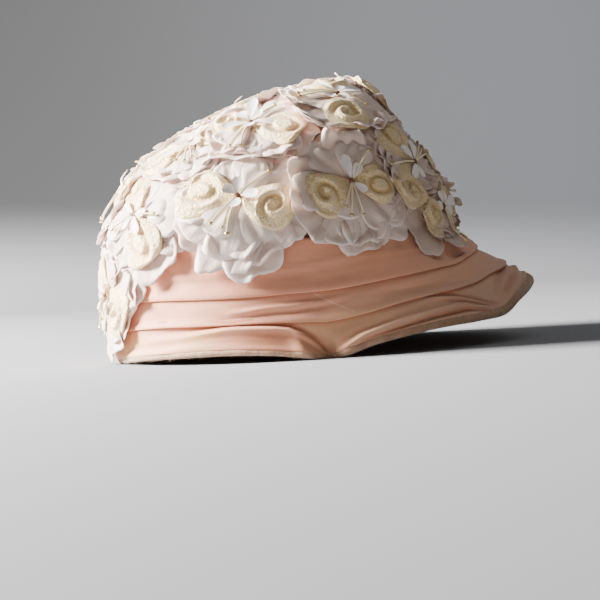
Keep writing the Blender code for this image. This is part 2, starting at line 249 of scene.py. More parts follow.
def pattern(build):
    # the shape and faces of a small piece that is modelled once, for its copies
    bpy.ops.object.select_all(action="DESELECT")
    build()
    piece = bpy.context.active_object
    mesh = piece.data
    co = np.empty(len(mesh.vertices) * 3)
    mesh.vertices.foreach_get("co", co)
    co = co.reshape(-1, 3)
    order = np.lexsort(co.T)  # a new sphere's points and faces aren't numbered the same way each run
    number = np.argsort(order)
    faces = [[int(number[v]) for v in p.vertices] for p in mesh.polygons]
    faces = sorted(tuple(f[f.index(min(f)):] + f[:f.index(min(f))]) for f in faces)
    bpy.data.objects.remove(piece)
    return co[order], faces


# Materials

def shaderGroup(name, inputs, outputs):
    group = bpy.data.node_groups.new(name, "ShaderNodeTree")
    for label, kind, value in inputs:
        socket = group.interface.new_socket(label, in_out="INPUT", socket_type=kind)
        if value is not None:
            socket.default_value = value
    for label, kind in outputs:
        group.interface.new_socket(label, in_out="OUTPUT", socket_type=kind)
    start = group.nodes.new("NodeGroupInput")
    end = group.nodes.new("NodeGroupOutput")
    return group, start, end


def add(tree, kind, **settings):
    node = tree.nodes.new(kind)
    for key, value in settings.items():
        setattr(node, key, value)
    return node


def math2(tree, operation, a, b=None, clamp=False):
    node = add(tree, "ShaderNodeMath", operation=operation, use_clamp=clamp)
    for k, value in enumerate((a, b)):
        if value is None:
            continue
        if isinstance(value, (int, float)):
            node.inputs[k].default_value = value
        else:
            tree.links.new(value, node.inputs[k])
    return node.outputs[0]


def weaveGroup():
    # crossed threads: a height for the bump, and a mask that is 1 on a thread
    group, start, end = shaderGroup("crossedThreads", [
        ("Vector", "NodeSocketVector", None), ("Threads per metre", "NodeSocketFloat", 2500.0),
        ("Slub", "NodeSocketFloat", 0.2)],
        [("Height", "NodeSocketFloat"), ("Mask", "NodeSocketFloat")])
    slub = add(group, "ShaderNodeTexNoise")
    slub.inputs["Scale"].default_value = 400
    group.links.new(start.outputs["Vector"], slub.inputs["Vector"])
    split = add(group, "ShaderNodeSeparateXYZ")
    group.links.new(start.outputs["Vector"], split.inputs[0])
    rows = []
    for axis in (0, 1):
        phase = math2(group, "MULTIPLY", split.outputs[axis], start.outputs["Threads per metre"])
        wander = math2(group, "MULTIPLY", slub.outputs[0], start.outputs["Slub"])
        wave = math2(group, "SINE", math2(group, "MULTIPLY", math2(group, "ADD", phase, wander), 2 * math.pi))
        rows.append(math2(group, "MULTIPLY", math2(group, "ADD", wave, 1.0), 0.5))
    height = math2(group, "MAXIMUM", rows[0], rows[1])
    group.links.new(height, end.inputs["Height"])
    group.links.new(math2(group, "GREATER_THAN", height, 0.72), end.inputs["Mask"])
    return group


def pileGroup():
    # short pile: a height, and a tone that is paler where the pile catches the light
    group, start, end = shaderGroup("shortPile", [
        ("Vector", "NodeSocketVector", None), ("Tufts per metre", "NodeSocketFloat", 1800.0),
        ("Crush", "NodeSocketFloat", 220.0)],
        [("Height", "NodeSocketFloat"), ("Tone", "NodeSocketFloat")])
    found = []
    for socket, detail in (("Tufts per metre", 2.0), ("Crush", 3.0)):
        noise = add(group, "ShaderNodeTexNoise")
        noise.inputs["Detail"].default_value = detail
        group.links.new(start.outputs["Vector"], noise.inputs["Vector"])
        group.links.new(start.outputs[socket], noise.inputs["Scale"])
        found.append(noise.outputs[0])
    both = math2(group, "ADD", math2(group, "MULTIPLY", found[0], 0.5),
                 math2(group, "MULTIPLY", found[1], 0.8))
    group.links.new(both, end.inputs["Height"])
    group.links.new(math2(group, "MULTIPLY", math2(group, "SUBTRACT", both, 0.4), 2.6), end.inputs["Tone"])
    return group


def mottleGroup():
    # broad uneven ageing, as a mask
    group, start, end = shaderGroup("unevenAgeing", [
        ("Vector", "NodeSocketVector", None), ("Scale", "NodeSocketFloat", 25.0),
        ("Contrast", "NodeSocketFloat", 2.0)], [("Mask", "NodeSocketFloat")])
    noise = add(group, "ShaderNodeTexNoise")
    noise.inputs["Detail"].default_value = 4
    group.links.new(start.outputs["Vector"], noise.inputs["Vector"])
    group.links.new(start.outputs["Scale"], noise.inputs["Scale"])
    centred = math2(group, "SUBTRACT", noise.outputs[0], 0.5)
    spread = math2(group, "MULTIPLY", centred, start.outputs["Contrast"])
    group.links.new(math2(group, "ADD", spread, 0.5, clamp=True), end.inputs["Mask"])
    return group


def newMaterial(name, roughness):
    material = bpy.data.materials.new(name)
    material.use_nodes = True
    shader = material.node_tree.nodes["Principled BSDF"]
    shader.inputs["Roughness"].default_value = roughness
    return material, material.node_tree, shader


def newCloth(name, look):
    material, tree, shader = newMaterial(name, look["roughness"])
    shader.inputs["Sheen Weight"].default_value = look.get("sheen", 0.0)
    shader.inputs["Sheen Tint"].default_value = (*look.get("sheenTint", (1, 1, 1)), 1)
    shader.inputs["Specular IOR Level"].default_value = 0.3
    if "glow" in look:  # light that passes through thin cloth
        shader.inputs["Subsurface Weight"].default_value = look["glow"]
        shader.inputs["Subsurface Radius"].default_value = (1.0, 0.55, 0.4)
        shader.inputs["Subsurface Scale"].default_value = 4 * mm
    return material, tree, shader


def useGroup(tree, group, vector, **values):
    node = add(tree, "ShaderNodeGroup", node_tree=group)
    tree.links.new(vector, node.inputs["Vector"])
    for key, value in values.items():
        node.inputs[key.replace("_", " ")].default_value = value
    return node


def blendColour(tree, factor, a, b):
    node = add(tree, "ShaderNodeMix", data_type="RGBA")
    tree.links.new(factor, node.inputs["Factor"])
    for key, value in (("A", a), ("B", b)):
        socket = [s for s in node.inputs if s.name == key and s.type == "RGBA"][0]
        if isinstance(value, tuple):
            socket.default_value = (*value, 1)
        else:
            tree.links.new(value, socket)
    return [s for s in node.outputs if s.type == "RGBA"][0]


def attribute(tree, name):
    return add(tree, "ShaderNodeAttribute", attribute_name=name).outputs["Fac"]


def bumpInto(tree, shader, height, strength, distance):
    node = add(tree, "ShaderNodeBump")
    node.inputs["Strength"].default_value = strength
    node.inputs["Distance"].default_value = distance
    tree.links.new(height, node.inputs["Height"])
    tree.links.new(node.outputs[0], shader.inputs["Normal"])


def uvVector(tree):
    return add(tree, "ShaderNodeUVMap", uv_map="cloth").outputs[0]


def objectVector(tree):
    return add(tree, "ShaderNodeTexCoord").outputs["Object"]


threads, pile, mottle = weaveGroup(), pileGroup(), mottleGroup()


def wovenRelief(tree, shader, look):
    # a fine weave, and crinkles that are longest along the axis whose share in the stretch is smallest
    weave = useGroup(tree, threads, uvVector(tree), Threads_per_metre=look["threads"], Slub=look["slub"])
    stretch = add(tree, "ShaderNodeMapping")
    stretch.inputs["Scale"].default_value = look["stretch"]
    tree.links.new(uvVector(tree), stretch.inputs["Vector"])
    crinkle = useGroup(tree, mottle, stretch.outputs[0], Scale=look["crinkles"], Contrast=look["crinkled"])
    fine = math2(tree, "MULTIPLY", weave.outputs["Height"], 0.10)
    bumpInto(tree, shader, math2(tree, "ADD", fine, crinkle.outputs["Mask"]), look["relief"], 0.8 * mm)


organzaLook = {
    "roughness": 0.5, "sheen": 0.25, "sheenTint": (1.0, 0.95, 0.92), "glow": 0.12,
    # pale is the petals' own colour, deep the painted shade they are darkened to near the hearts and between
    # the petals, and rim a painted highlight along their edges
    "pale": (0.80, 0.665, 0.585), "deep": (0.50, 0.23, 0.10), "rim": (0.97, 0.93, 0.90),
    # soilAndShade: the brown of worn petals and of painted shade on the flowers at the front
    "blush": (0.95, 0.60, 0.50), "aged": (0.76, 0.52, 0.38), "soilAndShade": (0.40, 0.27, 0.19), "ageing": 0.45,
    "threads": 2200.0, "slub": 0.3, "stretch": (0.3, 1, 1), "crinkles": 330.0, "crinkled": 1.5,
    "relief": 0.5,
}


def organzaMaterial(name, look):
    material, tree, shader = newCloth(name, look)
    aged = useGroup(tree, mottle, objectVector(tree), Scale=60.0, Contrast=1.6)
    # painted shade: towards the deep tone where depth is set, near the hearts and in the petals' valleys
    shade = blendColour(tree, attribute(tree, "depth"), look["pale"], look["deep"])
    # painted highlight: a paler band along the petals' edges, where light comes through the sheer edge
    rim = blendColour(tree, attribute(tree, "rim"), shade, look["rim"])
    pink = blendColour(tree, attribute(tree, "blush"), rim, look["blush"])
    ageing = math2(tree, "MULTIPLY", aged.outputs["Mask"], look["ageing"])
    warm = blendColour(tree, ageing, pink, look["aged"])
    # browner where wornAndShaded is set: partly wear, partly painted shade
    soiledAndShaded = blendColour(tree, attribute(tree, "wornAndShaded"), warm, look["soilAndShade"])
    tree.links.new(soiledAndShaded, shader.inputs["Base Color"])
    wovenRelief(tree, shader, look)
    return material


# deep is the darker pile and also the colour of painted shade: in the petals' grooves, and on the edge
# towards the front
velvetLooks = {
    "creamVelvet": {
        "roughness": 0.42, "sheen": 0.7, "sheenTint": (1.0, 0.93, 0.8), "glint": 0.55,
        "pale": (1.0, 0.84, 0.52), "deep": (0.70, 0.43, 0.16), "soilAndShade": (0.34, 0.21, 0.08), "soilAndShadeShare": 0.7,
        "tufts": 1700.0, "crush": 800.0},
    "peachVelvet": {
        "roughness": 0.95, "sheen": 0.7, "sheenTint": (1.0, 0.93, 0.8),
        "pale": (0.72, 0.44, 0.28), "deep": (0.30, 0.165, 0.09), "soilAndShade": (0.34, 0.21, 0.08), "soilAndShadeShare": 0.7,
        "tufts": 1600.0, "crush": 260.0},
}


def velvetMaterial(name, look):
    material, tree, shader = newCloth(name, look)
    fuzz = useGroup(tree, pile, objectVector(tree), Tufts_per_metre=look["tufts"], Crush=look["crush"])
    shade = blendColour(tree, fuzz.outputs["Tone"], look["deep"], look["pale"])
    # painted shade: towards deep where depth is set, in the petals' grooves and near their base, and towards
    # the front of the edge
    inner = blendColour(tree, attribute(tree, "depth"), shade, look["deep"])
    # browner where wornAndShaded is set: partly wear, partly painted shade
    wornAndShaded = math2(tree, "MULTIPLY", attribute(tree, "wornAndShaded"), look["soilAndShadeShare"])
    tree.links.new(blendColour(tree, wornAndShaded, inner, look["soilAndShade"]), shader.inputs["Base Color"])
    if "glint" in look:  # tufts that catch the light as metal thread does
        lit = math2(tree, "MULTIPLY", fuzz.outputs["Tone"], look["glint"], clamp=True)
        tree.links.new(lit, shader.inputs["Metallic"])
    bumpInto(tree, shader, fuzz.outputs["Height"], 0.9, 1.3 * mm)
    return material


chiffonLook = {
    "roughness": 0.6, "sheen": 0.3, "sheenTint": (1.0, 0.86, 0.78), "glow": 0.08,
    # wornAndShaded is the brown of aged cloth and of painted shade; crease is the colour of painted shade in
    # the creases
    "fresh": (0.80, 0.31, 0.19), "stained": (0.80, 0.38, 0.13), "wornAndShaded": (0.62, 0.36, 0.235),
    "crease": (0.42, 0.10, 0.03), "seam": (0.88, 0.50, 0.37), "seamHalfWidth": 0.09,
    "threads": 1500.0, "slub": 0.35, "stretch": (1, 0.22, 1), "crinkles": 170.0, "crinkled": 1.0,
    "relief": 0.45,
}


def chiffonMaterial(name, look):
    material, tree, shader = newCloth(name, look)
    aged = useGroup(tree, mottle, objectVector(tree), Scale=28.0, Contrast=1.5)
    uneven = math2(tree, "MULTIPLY", math2(tree, "SUBTRACT", aged.outputs["Mask"], 0.5), 0.3)
    # browner where ageAndShade is set: partly ageing, partly painted shade
    ageAndShade = math2(tree, "ADD", attribute(tree, "ageAndShade"), uneven)
    stain = useGroup(tree, mottle, objectVector(tree), Scale=17.0, Contrast=3.5)
    stained = math2(tree, "MULTIPLY", stain.outputs["Mask"], attribute(tree, "stain"))
    fresh = blendColour(tree, stained, look["fresh"], look["stained"])
    wornAndShaded = blendColour(tree, ageAndShade, fresh, look["wornAndShaded"])
    # painted shade: darker in the creases, under the tucks and in the hollow above the hem
    shade = blendColour(tree, math2(tree, "MULTIPLY", attribute(tree, "crease"), 0.75), wornAndShaded, look["crease"])
    away = math2(tree, "ABSOLUTE", attribute(tree, "seam"))
    onSeam = math2(tree, "LESS_THAN", away, look["seamHalfWidth"])
    tree.links.new(blendColour(tree, onSeam, shade, look["seam"]), shader.inputs["Base Color"])
    wovenRelief(tree, shader, look)
    return material


netLook = {"roughness": 0.8, "colour": (0.42, 0.27, 0.13), "threads": 590.0, "slub": 0.25}


def netMaterial(name, look):
    material, tree, shader = newCloth(name, look)
    shader.inputs["Base Color"].default_value = (*look["colour"], 1)
    weave = useGroup(tree, threads, uvVector(tree), Threads_per_metre=look["threads"], Slub=look["slub"])
    tree.links.new(weave.outputs["Mask"], shader.inputs["Alpha"])
    bumpInto(tree, shader, weave.outputs["Height"], 0.6, 0.4 * mm)
    return material


trimLooks = {
    "whiteSatin": {"colour": (0.90, 0.82, 0.76), "roughness": 0.4, "sheen": 0.2},
    "creamThread": {"colour": (0.84, 0.72, 0.46), "roughness": 0.45},
    "goldBead": {"colour": (0.70, 0.55, 0.24), "roughness": 0.22, "metal": 0.7},
    "edgeFibre": {"colour": (0.60, 0.42, 0.30), "roughness": 0.9, "sheen": 0.3},
    # darkHeart: a dark bead for the hole at a flower's heart, painted shade
    "darkHeart": {"colour": (0.20, 0.08, 0.04), "roughness": 0.8},
}


def trimMaterial(name, look):
    material, tree, shader = newCloth(name, look)
    shader.inputs["Metallic"].default_value = look.get("metal", 0.0)
    grain = useGroup(tree, mottle, objectVector(tree), Scale=300.0, Contrast=1.2)
    darker = tuple(c * 0.82 for c in look["colour"])
    grained = blendColour(tree, grain.outputs["Mask"], darker, look["colour"])
    tree.links.new(grained, shader.inputs["Base Color"])
    return material


organza = organzaMaterial("whiteOrganza", organzaLook)
velvets = {name: velvetMaterial(name, look) for name, look in velvetLooks.items()}
chiffon = chiffonMaterial("peachChiffon", chiffonLook)
net = netMaterial("tanNet", netLook)
trims = {name: trimMaterial(name, look) for name, look in trimLooks.items()}
print("materials ready")


# Crown net

crownNet = {"around": 160, "rows": 44, "tuckIn": 9 * mm, "wall": 0.7 * mm, "topHole": 0.4 * mm,
            "clothReach": 0.09}


def makeCrown():
    s = crownNet
    rows, co, uv = s["rows"], [], []
    for i in range(s["around"]):
        bearing = 2 * math.pi * i / s["around"]
        power = 2 / boxiness(bearing)
        reach = baseReach(bearing)
        climbs = np.linspace(1, 0, rows) * math.pi / 2
        out = reach * np.cos(climbs) ** power
        up = hat["crownBase"] + hat["crownHeight"] * np.sin(climbs) ** power
        out[0] = s["topHole"]
        around = bearing * s["clothReach"]
        for k in range(rows):
            co.append((hub[0] + out[k] * math.cos(bearing), out[k] * math.sin(bearing), up[k]))
            uv.append((around, math.hypot(reach - out[k], up[k] - hat["crownBase"])))
        foot = hat["crownBase"] - s["tuckIn"]
        co.append((hub[0] + reach * math.cos(bearing), reach * math.sin(bearing), foot))
        uv.append((around, -s["tuckIn"]))
    co = np.array(co)
    away = co - hub
    reach = np.linalg.norm(away, axis=1)[:, None]
    co -= away / reach * frontHollow(away / reach)[:, None]
    piece = makePiece("crownNet", co, ringFaces(s["around"], rows + 1), net, ["crown_net"], uv)
    finish(piece, ("SOLIDIFY", {"thickness": s["wall"], "offset": -1.0}))


makeCrown()
print("crown net made")


# Drape

drape = {
    "around": 540, "panelRows": (16, 18, 28), "cloth": 2.2 * mm, "proud": 3.9 * mm, "thickness": 0.35 * mm,
    "wrinkle": 1.25 * mm, "overlap": 0.035, "dentDepth": 6.0 * mm, "flat": (0.088, 0.66), "clear": 0.6 * mm,
    # soilShade values: where the cloth above the hem is darker brown, painted shade of the hollow there and
    # partly soiling
    "soilShadeAngle": -103, "soilShadeSpread": 20, "soilShadeAngles": (-130, -105), "soilShadeShares": (0.86, 0.75),
    "stainShare": 0.64, "seamAngles": (-84.0, -75.5), "seamShares": (0.46, 0.72),
}
# pinches at the low points of the brim: angle, its spread, share, its spread, and strength
dents = [(-86.5, 2.7, 0.94, 0.11, 1.0), (-92.5, 2.5, 0.9, 0.1, -0.3), (88.0, 4.5, 0.97, 0.12, 0.35)]


def waveSet(seed, count, aroundRange, downRange):
    # waves, each with its turns round the hat and down the cloth, its phase and its weight
    rng = np.random.default_rng(seed)
    return [(int(rng.integers(*aroundRange)), rng.uniform(*downRange), rng.uniform(0, 2 * math.pi),
             rng.uniform(0.5, 1.0)) for _ in range(count)]


def waves(waveList, angle, share):
    a = np.radians(angle)
    total = sum(w * np.sin(n * a + d * share * 2 * math.pi + p) for n, d, p, w in waveList)
    return total / sum(w for *_, w in waveList)


longFolds = [waveSet(11 + k, 6, (-9, 10), (0.5, 2.4)) for k in range(3)]
shortFolds = [waveSet(31 + k, 8, (-26, 27), (1.0, 4.0)) for k in range(3)]
fade = waveSet(51, 5, (-4, 5), (0.0, 0.8))


def dentAt(angle, share):
    total = sum(strength * bump(angle, middle, spread) * bump(share, level, band)
                for middle, spread, level, band, strength in dents)
    return total * drape["dentDepth"]


# folds and hollows of the cloth: angle, share and strength along each, then its width as a share, and in mm
# the height of its ridge and the depth of the creases above and below it
folds = [
    ([(-150, 0.85, 0), (-128, 0.82, 0.5), (-112, 0.775, 1), (-100, 0.775, 1), (-94, 0.775, 1),
      (-90, 0.82, 1), (-87.5, 0.90, 1), (-86, 1.0, 0.6), (-85.5, 1.0, 0)], 0.030, 1.6, 1.6, 0.3),
    ([(-85.5, 1.0, 0), (-83, 0.965, 0.8), (-78, 0.915, 1), (-62, 0.865, 1), (-47, 0.835, 1),
      (-41, 0.90, 1), (-36, 0.965, 0.8), (-33, 1.0, 0)], 0.026, 2.0, 0.7, 2.6),
    ([(-58, 0.72, 0), (-52, 0.735, 0.6), (-46, 0.765, 1), (-40, 0.84, 1), (-35, 0.93, 0.8), (-33, 0.96, 0)],
     0.022, 1.5, 1.4, 0.6),
    ([(-33, 0.90, 0), (-27, 0.82, 1), (-18, 0.77, 1), (-8, 0.76, 0)], 0.030, 1.5, 1.2, 0.8),
    ([(-34, 0.95, 0), (-26, 0.90, 1), (-16, 0.87, 1), (-4, 0.86, 0)], 0.026, 1.2, 0.9, 1.0),
    ([(-70, 0.60, 0), (-58, 0.605, 1), (-48, 0.585, 1), (-30, 0.56, 0)], 0.032, -1.6, -0.4, -0.5),
    ([(-112, 0.64, 0), (-104, 0.62, 1), (-96, 0.585, 1), (-86, 0.55, 1), (-74, 0.56, 0)],
     0.022, 1.1, 0.4, 0.9),
    ([(-150, 0.29, 0), (-120, 0.30, 0.7), (-95, 0.27, 1), (-70, 0.24, 1), (-30, 0.22, 0.6), (0, 0.22, 0)],
     0.020, 0.7, 0.1, 0.7),
    ([(40, 0.83, 0), (60, 0.84, 1), (80, 0.90, 1), (87, 0.97, 0.8), (90, 0.98, 0)], 0.028, 1.7, 0.6, 1.8),
    ([(88, 0.98, 0), (92, 0.95, 0.8), (104, 0.85, 1), (125, 0.80, 0.8), (150, 0.84, 0)],
     0.030, 1.6, 1.5, 0.4),
    ([(-20, 0.84, 0), (0, 0.82, 1), (24, 0.80, 1), (44, 0.78, 0)], 0.028, 1.5, 0.8, 1.2),
    ([(140, 0.84, 0), (160, 0.86, 0.7), (180, 0.85, 0.5)], 0.03, 1.0, 0.4, 0.4),
]


def foldsAt(angle, share):
    # lift of the folds, and how much painted shade the creases beside them get
    lift, crease = 0.0, 0.0
    for line, width, ridge, above, below in folds:
        angles, shares, strengths = zip(*line)
        if not angles[0] < angle < angles[-1]:
            continue
        at, strength = np.interp(angle, angles, shares), np.interp(angle, angles, strengths)
        step = width * 1.9
        top, bottom = bump(share, at - step, width * 1.1), bump(share, at + step, width * 0.9)
        lift += strength * (ridge * bump(share, at, width) - above * top - below * bottom)
        crease += strength * 0.3 * (max(above, 0) * top + max(below, 0) * bottom)
    return lift * mm, crease


def panelLift(panel, angle, share):
    # the wrinkles of one layer, larger at the front
    strength = 0.45 + 0.55 * waves(fade, angle, share)
    size = drape["wrinkle"] * mix(0.8, 1.5, frontShare(angle, 0.4, 1.2))
    lift = size * strength * waves(longFolds[panel], angle, share) * 1.6
    lift += size * 0.35 * waves(shortFolds[panel], angle, share)
    return lift


def drapeSection(angle):
    # the three layers from the crown to the hem, each tucked under the one above
    s = drape
    fall = hat["crownBase"] - brimAt("rim", angle) * mm
    upper, lower = brimAt("upperTuck", angle), brimAt("lowerTuck", angle)
    hem = 1 - hat["edgeHeight"] / fall
    shares, lifts, agesAndShades, creases = [], [], [], []

    def row(share, lift, ageAndShade=0.0, crease=0.0):
        shares.append(share)
        lifts.append(max(lift, 0.5 * mm) - dentAt(angle, share))
        agesAndShades.append(ageAndShade)
        creases.append(min(crease, 1.0))

    edges = [(0.0, upper), (upper - s["overlap"], lower), (lower - s["overlap"], hem)]
    for panel, (start, end) in enumerate(edges):
        last = panel == 2
        for v in np.linspace(0, 1, s["panelRows"][panel]):
            share = mix(start, end, v)
            settle = smooth(v * 5) * smooth((1 - v) * 6)
            fold, crease = foldsAt(angle, share)
            lift = s["cloth"] + 0.5 * mm * math.sin(math.pi * v) + settle * panelLift(panel, angle, share)
            lift += (s["proud"] - s["cloth"]) * smooth((v - 0.72) / 0.28) * (0.6 if last else 1.0)
            lift += fold * smooth(v * 6) * smooth((1 - v) * (8 if last else 5))
            # painted shade on the cloth just under the tuck above
            tucked = 0.0 if panel == 0 else bump(share, start + s["overlap"], 0.022)
            row(share, lift, 0.12 * panel + 0.1 * v, crease + 0.8 * tucked)
        if not last:  # round the fold of the tuck and back up behind it
            # these rows get painted shade where the cloth turns under the tuck
            row(end + 0.006, s["proud"] - 0.25 * mm, 0.3, 0.2)
            row(end + 0.005, s["proud"] - 0.6 * mm, 0.5, 0.9)
            row(end - 0.025, s["proud"] - 1.0 * mm, 0.5, 1.0)
            row(end - 0.05, s["cloth"] + 0.25 * mm, 0.5, 1.0)
    # the hem turns under, with painted shade there
    row(hem + 0.008, s["cloth"] + 0.7 * mm, 0.4, 0.3)
    row(hem + 0.004, s["cloth"] + 0.2 * mm, 0.5, 1.0)
    return np.array(shares), np.array(lifts), np.array(agesAndShades), np.array(creases)


def drapeTones(angle, shares, ageAndShade, crease):
    # how browned the cloth is by age and painted shade, how much painted shade its creases get, how stained
    # it is, and how far it lies from the diagonal seam
    s = drape
    front = frontShare(angle)
    # browner towards the front and lower down: partly ageing, partly painted shade on the front, which the
    # window light misses
    aged = ageAndShade + 0.30 * front + 0.45 * front * smooth((shares - 0.35) / 0.5)
    aged = aged + 0.15 * smooth((shares - 0.7) / 0.3)
    # darker brown above the hem at the right front: painted shade of the hollow where the cloth turns under,
    # partly soiling
    soilShadeTop = np.interp(angle, s["soilShadeAngles"], s["soilShadeShares"])
    soiledAndShaded = smooth((shares - soilShadeTop) / 0.08) * bump(angle, s["soilShadeAngle"], s["soilShadeSpread"])
    seamTop, seamFoot = s["seamShares"]
    seamAt = mix(*s["seamAngles"], (shares - seamTop) / (seamFoot - seamTop))
    besideSeam = (shares > seamTop + 0.01) & (shares < seamFoot)
    return {"ageAndShade": np.clip(aged + 0.4 * soiledAndShaded, 0, 1), "crease": np.clip(crease + 0.8 * soiledAndShaded, 0, 1),
            "stain": 0.2 + 1.4 * smooth((shares - s["stainShare"]) / 0.22),
            "seam": np.where(besideSeam, (angle - seamAt) * 0.55, 9.0)}


def makeDrape():
    s = drape
    co, uv, tones = [], [], {"ageAndShade": [], "seam": [], "crease": [], "stain": []}
    for i in range(s["around"]):
        angle = -180 + 360 * i / s["around"]
        shares, lifts, ageAndShade, crease = drapeSection(angle)
        points = brimPoints(angle, shares, lifts)
        points[:, 2] = np.maximum(points[:, 2], s["clear"])
        co.extend(points)
        uv.extend(clothUv(points, angle))
        for label, values in drapeTones(angle, shares, ageAndShade, crease).items():
            tones[label].extend(values)
    faces = ringFaces(s["around"], len(co) // s["around"])
    piece = makePiece("drapedChiffon", co, faces, chiffon, ["drape"], uv, tones)
    finish(piece, ("SOLIDIFY", {"thickness": s["thickness"], "offset": -1.0}))


makeDrape()
print("drape made")


# Velvet edge

velvetEdge = {"around": 420, "height": 4.4 * mm, "wall": 3.4 * mm, "leafTop": 0.45, "leafWall": 1.4 * mm,
              "wobble": 0.35 * mm}
edgeWaves = waveSet(71, 8, (3, 40), (0.0, 1.0))


def edgeCloth(angle):
    # how proud the edge lies, a little unevenly
    return drape["cloth"] + waves(edgeWaves, angle, 0.5) * velvetEdge["wobble"]


def edgeSection(angle):
    s = velvetEdge
    rim = brimAt("rim", angle) * mm
    hem = 1 - s["height"] / (hat["crownBase"] - rim)
    cloth = edgeCloth(angle)
    leaf = [(s["leafTop"], -0.2 * mm), (mix(s["leafTop"], hem, 0.5), -0.2 * mm), (hem - 0.02, -0.1 * mm)]
    lip = [(hem - 0.015, cloth - 0.6 * mm), (hem + 0.01, cloth + 0.2 * mm),
           (mix(hem, 1, 0.35), cloth + 0.75 * mm), (mix(hem, 1, 0.65), cloth + 0.8 * mm),
           (mix(hem, 1, 0.88), cloth + 0.3 * mm)]
    under = [(1.0, cloth - 0.9 * mm), (1.0, cloth - 2.3 * mm), (mix(hem, 1, 0.85), cloth - s["wall"])]
    inside = [(mix(hem, 1, 0.3), -s["leafWall"]), (mix(s["leafTop"], hem, 0.5), -s["leafWall"]),
              (s["leafTop"], -s["leafWall"])]
    rows = [(share, lift - dentAt(angle, share)) for share, lift in leaf + lip + under + inside]
    points = brimPoints(angle, [r[0] for r in rows], [r[1] for r in rows])
    points[:, 2] = np.maximum(points[:, 2], rim)
    return points


def makeVelvetEdge():
    s = velvetEdge
    co, uv, agesAndShades = [], [], []
    for i in range(s["around"]):
        angle = -180 + 360 * i / s["around"]
        points = edgeSection(angle)
        points = np.vstack([points, points[:1]])
        co.extend(points)
        # a share of the darker tone all round, and more towards the front: painted shade on the side the
        # window light misses, partly ageing
        agesAndShades.extend(np.full(len(points), 0.42 + 0.33 * frontShare(angle)))
        uv.extend(clothUv(points, angle))
    faces = ringFaces(s["around"], len(co) // s["around"])
    piece = makePiece("velvetEdge", co, faces, velvets["peachVelvet"], ["velvet_edge"], uv,
                      {"depth": agesAndShades})
    finish(piece, ("WELD", {"merge_threshold": 0.00001}))


makeVelvetEdge()
print("velvet edge made")


edgeFibres = {"count": 2600, "length": 1.3 * mm, "halfWidth": 0.10 * mm, "clear": 0.1 * mm}


def makeEdgeFibres():
    # pile that stands out of the worn lower edge
    s = edgeFibres
    rng = np.random.default_rng(81)
    co, faces = [], []
    for angle in rng.uniform(-180, 180, s["count"]):
        cloth = edgeCloth(angle)
        lift = cloth + rng.uniform(-2.0, 0.9) * mm
        share = 1.0 if lift < cloth - 0.8 * mm else rng.uniform(0.965, 0.995)
        foot = brimPoints(angle, [share, 0.5], [lift - dentAt(angle, share), 0])[0]
        foot[2] = max(foot[2], s["clear"])
        a = math.radians(angle)
        outward, along = np.array([math.cos(a), math.sin(a), 0]), np.array([-math.sin(a), math.cos(a), 0])
        way = outward * rng.uniform(0.2, 1.0) + along * rng.uniform(-0.6, 0.6)
        way = way + np.array([0, 0, rng.uniform(-0.7, 0.1)])
        tip = foot + way / np.linalg.norm(way) * s["length"] * rng.uniform(0.4, 1.2)
        tip[2] = max(tip[2], s["clear"])
        side = along * s["halfWidth"]
        n = len(co)
        co += [foot - side, foot + side, tip + side / 3, tip - side / 3]
        faces.append((n, n + 1, n + 2, n + 3))
    makePiece("velvetEdgeFibres", co, faces, trims["edgeFibre"], [])


makeEdgeFibres()
print("edge fibres made")


# Flower parts: each petal is a round grid drawn out from the heart along +x, with z off the ground

petals = {
    "scallop": {"rings": 7, "spokes": 40, "length": 46 * mm, "halfWidth": 16.5 * mm, "square": 3.6,
                "neck": 0.9, "middle": 0.6, "notch": 0.06, "ruffle": 1.4 * mm, "pleat": 0.55 * mm,
                "fray": 0.6 * mm},
    "puff": {"rings": 9, "spokes": 32, "length": 37 * mm, "halfWidth": 11.6 * mm, "square": 2.3,
             "neck": 2.3, "middle": 0.64, "pillow": 2.2 * mm, "valley": 1.1 * mm, "rim": 0.35 * mm,
             "fray": 0.25 * mm},
    "velvet": {"rings": 18, "spokes": 48, "length": 33 * mm, "halfWidth": 14.3 * mm, "square": 2.1,
               "neck": 1.9, "middle": 0.62, "roll": 2.6 * mm, "island": 2.1 * mm, "wall": 1.3 * mm},
    "spoon": {"rings": 5, "spokes": 16, "length": 10.5 * mm, "halfWidth": 2.9 * mm, "square": 2.2,
              "neck": 2.2, "middle": 0.7},
    "stamen": {"sides": 6, "rings": 9, "length": 18 * mm, "radius": 0.48 * mm},
    "bead": {"radius": 1.1 * mm, "segments": 10, "rings": 7, "long": 1.6},
    "organzaWall": 0.18 * mm,
}


def roundGrid(rings, spokes):
    # how far out each point lies, its turn from the tip, and the faces
    out = np.concatenate([[0.0], np.repeat(np.linspace(1 / rings, 1, rings), spokes)])
    turn = np.concatenate([[0.0], np.tile(np.linspace(-math.pi, math.pi, spokes, endpoint=False), rings)])
    faces = [(0, 1 + k, 1 + (k + 1) % spokes) for k in range(spokes)]
    for r in range(rings - 1):
        for k in range(spokes):
            a, b = 1 + r * spokes + k, 1 + r * spokes + (k + 1) % spokes
            faces.append((a, a + spokes, b + spokes, b))
    return out, turn, faces


